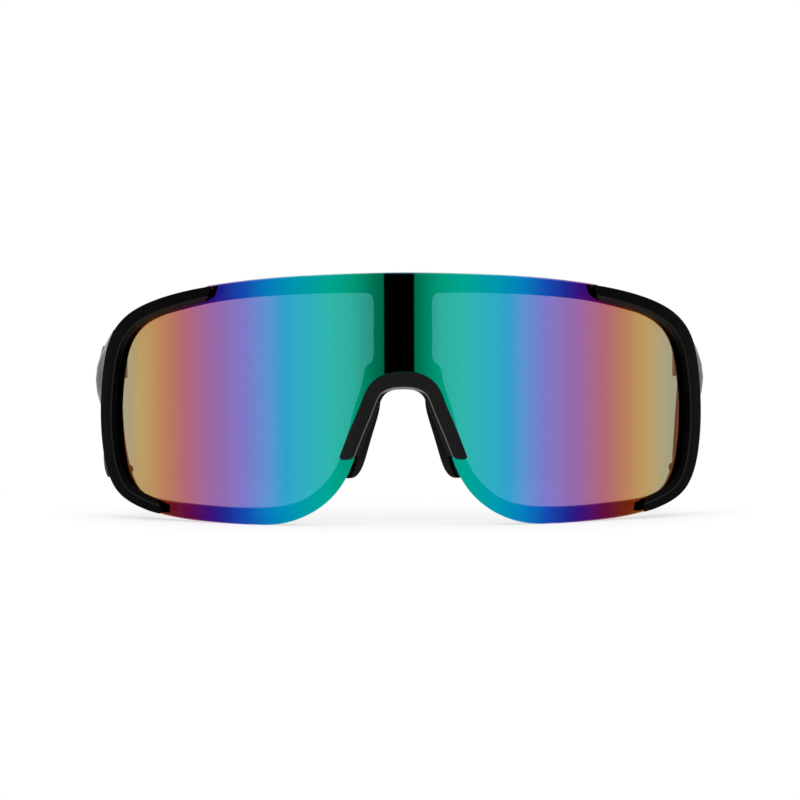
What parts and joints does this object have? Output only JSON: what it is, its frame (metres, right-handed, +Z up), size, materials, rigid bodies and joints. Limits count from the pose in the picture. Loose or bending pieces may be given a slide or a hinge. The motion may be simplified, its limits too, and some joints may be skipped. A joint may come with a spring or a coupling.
{
  "type": "shield sunglasses",
  "caption": "Wraparound shield sunglasses: a continuous mirrored lens on a black frame, side brackets on the lens, soft nose pads and folding temples with rubber tips.",
  "frame": {"origin": "under the middle of the object's box, on the surface that the lens's lower lobes and the temple tips rest on", "axes": "+Z up, +Y from the lens back along the temples to the wearer's ears, +X to the wearer's left"},
  "size_m": [0.1568, 0.1656, 0.0638],
  "materials": {
    "lens": "polycarbonate with a mirror coat that runs from green through blue and purple to red",
    "frame": "fine matt black moulded nylon",
    "bracket": "satin black moulded nylon",
    "temple": "satin black moulded nylon",
    "rubber": "soft matt black rubber",
    "steel": "plain steel"
  },
  "bodies": {
    "front": {"shield_lens": "lens", "rear_frame": "frame", "nose_bridge": "bracket", "left_side_bracket": "bracket", "left_nose_pad": "rubber", "left_frame_hinge": "steel", "left_hinge_screw": "steel", "left_frame_leaf_screws": "steel", "left_bracket_screws": "steel", "right_side_bracket": "bracket", "right_nose_pad": "rubber", "right_frame_hinge": "steel", "right_hinge_screw": "steel", "right_frame_leaf_screws": "steel", "right_bracket_screws": "steel"},
    "left_temple": {"left_temple": "temple", "left_temple_tip": "rubber", "left_temple_hinge": "steel", "left_temple_leaf_screws": "steel"},
    "right_temple": {"right_temple": "temple", "right_temple_tip": "rubber", "right_temple_hinge": "steel", "right_temple_leaf_screws": "steel"}
  },
  "joints": [
    {"name": "left_temple_fold", "type": "hinge", "parent": "front", "child": "left_temple", "pos_m": [0.07097, -0.03302, 0.03796], "axis": [0, 0, 1], "range_deg": [0, 90]},
    {"name": "right_temple_fold", "type": "hinge", "parent": "front", "child": "right_temple", "pos_m": [-0.07097, -0.03302, 0.03796], "axis": [0, 0, -1], "range_deg": [0, 100]}
  ]
}
